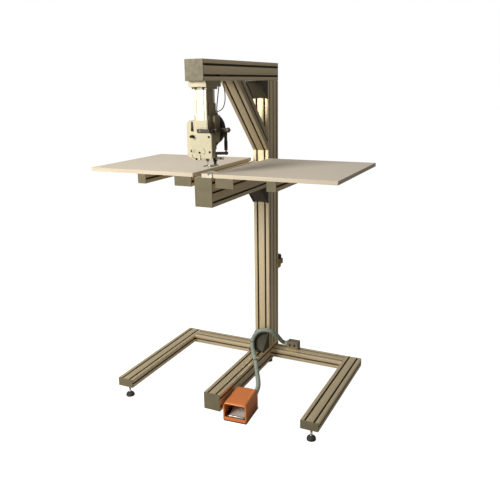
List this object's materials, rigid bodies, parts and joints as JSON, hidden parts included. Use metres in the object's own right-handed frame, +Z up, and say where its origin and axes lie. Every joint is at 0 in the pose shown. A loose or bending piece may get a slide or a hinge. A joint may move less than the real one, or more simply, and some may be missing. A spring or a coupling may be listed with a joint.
{
  "type": "sewing station",
  "caption": "Free-standing sewing station: compact sewing head hung from a slotted aluminium stand, two work tables, levelling feet, guarded foot pedal and hose.",
  "frame": {"origin": "on the floor under the middle of the whole machine's bounding box", "axes": "+Z up, -Y towards the operator, +X to the operator's right"},
  "size_m": [1.116, 0.76, 1.53],
  "materials": {
    "aluminium": "anodised, satin, warm",
    "cap_plastic": "matt moulded end caps",
    "bracket_cover": "dark moulded covers",
    "rubber_foot": "black rubber",
    "table_board": "coated board, pale edge",
    "bright_steel": "ground and polished steel",
    "cream_paint": "cream hammer paint",
    "tan_paint": "tan paint, satin",
    "black_paint": "black, semi gloss",
    "grey_plastic": "grey moulded",
    "orange_hood": "orange-red, semi gloss",
    "grey_hose": "grey-green corrugated conduit",
    "brass": "machined brass"
  },
  "bodies": {
    "stand": {"column": "aluminium", "arm_upper": "aluminium", "arm_lower": "aluminium", "brace": "aluminium", "base_leg_center": "aluminium", "base_leg_left": "aluminium", "base_leg_right": "aluminium", "base_beam_left": "aluminium", "base_beam_right": "aluminium", "head_post": "aluminium", "table_beam_inner_left": "aluminium", "table_beam_outer_left": "aluminium", "table_beam_inner_right": "aluminium", "table_beam_outer_right": "aluminium", "table_rail_left": "aluminium", "table_rail_right": "aluminium", "cap_arm_upper_front": "cap_plastic", "cap_arm_upper_rear": "cap_plastic", "cap_arm_lower": "cap_plastic", "cap_leg_center": "cap_plastic", "cap_leg_left": "cap_plastic", "cap_leg_right": "cap_plastic", "bracket_upper": "bracket_cover", "bracket_lower": "bracket_cover", "bracket_base": "bracket_cover", "pedal_base": "rubber_foot", "table_left": "table_board", "table_right": "table_board", "table_mount_left": "bright_steel", "table_mount_right": "bright_steel", "throat_plate": "bright_steel", "valve_block": "bright_steel", "head_mount": "cream_paint", "head_casting": "cream_paint", "face_plate": "cream_paint", "motor_housing": "tan_paint", "lifter_bracket": "black_paint", "lifter_cylinder": "black_paint", "pedal_gland": "grey_plastic", "valve_gland": "grey_plastic", "pedal_hood": "orange_hood", "pedal_hose": "grey_hose", "head_cable": "grey_hose", "head_cable_loop": "grey_hose", "regulator": "brass"},
    "foot_left_body": {"foot_left": "rubber_foot"},
    "foot_right_body": {"foot_right": "rubber_foot"},
    "foot_rear_body": {"foot_rear": "rubber_foot"},
    "shaft": {"main_shaft": "bright_steel", "handwheel": "black_paint"},
    "needle_group": {"needle_bar": "bright_steel", "needle": "bright_steel"},
    "take_up": {"take_up_lever": "bright_steel"},
    "tension": {"tension_knob": "bright_steel"},
    "presser": {"presser_bar": "bright_steel", "presser_foot": "black_paint", "lifter_link": "grey_plastic"},
    "looper": {"looper_shaft": "bright_steel"},
    "treadle": {"pedal_plate": "grey_plastic"},
    "regulator_cap": {"regulator_knob": "black_paint"}
  },
  "joints": [
    {"name": "foot_left_level", "type": "slide", "parent": "stand", "child": "foot_left_body", "axis": [0, 0, 1], "range_m": [-0.012, 0]},
    {"name": "foot_right_level", "type": "slide", "parent": "stand", "child": "foot_right_body", "axis": [0, 0, 1], "range_m": [-0.012, 0]},
    {"name": "foot_rear_level", "type": "slide", "parent": "stand", "child": "foot_rear_body", "axis": [0, 0, 1], "range_m": [-0.012, 0]},
    {"name": "handwheel_turn", "type": "hinge", "parent": "stand", "child": "shaft", "pos_m": [-0.004, -0.2645, 1.265], "axis": [0, 1, 0], "continuous": true},
    {"name": "looper_turn", "type": "hinge", "parent": "stand", "child": "looper", "pos_m": [0.018, -0.32, 1.058], "axis": [0, 1, 0], "continuous": true},
    {"name": "needle_slide", "type": "slide", "parent": "stand", "child": "needle_group", "axis": [0, 0, 1], "range_m": [-0.04, 0]},
    {"name": "take_up_swing", "type": "hinge", "parent": "stand", "child": "take_up", "pos_m": [-0.037, -0.3475, 1.2665], "axis": [0, 1, 0], "range_deg": [-22, 22]},
    {"name": "tension_turn", "type": "hinge", "parent": "stand", "child": "tension", "pos_m": [-0.031, -0.353, 1.242], "axis": [0, 1, 0], "range_deg": [-360, 360]},
    {"name": "presser_slide", "type": "slide", "parent": "stand", "child": "presser", "axis": [0, 0, 1], "range_m": [-0.027, 0]},
    {"name": "pedal_press", "type": "hinge", "parent": "stand", "child": "treadle", "pos_m": [0.10791, -0.30486, 0.0165], "axis": [0.9976, 0.0698, 0], "range_deg": [-8, 0], "stiffness_Nm_per_rad": 6, "springref_deg": 6.88},
    {"name": "regulator_turn", "type": "hinge", "parent": "stand", "child": "regulator_cap", "pos_m": [0.031, 0.3601, 0.56], "axis": [0, 0, 1], "range_deg": [-360, 360]}
  ],
  "couplings": [
    {"joint": "looper_turn", "follows": "handwheel_turn", "ratio": -1}
  ]
}
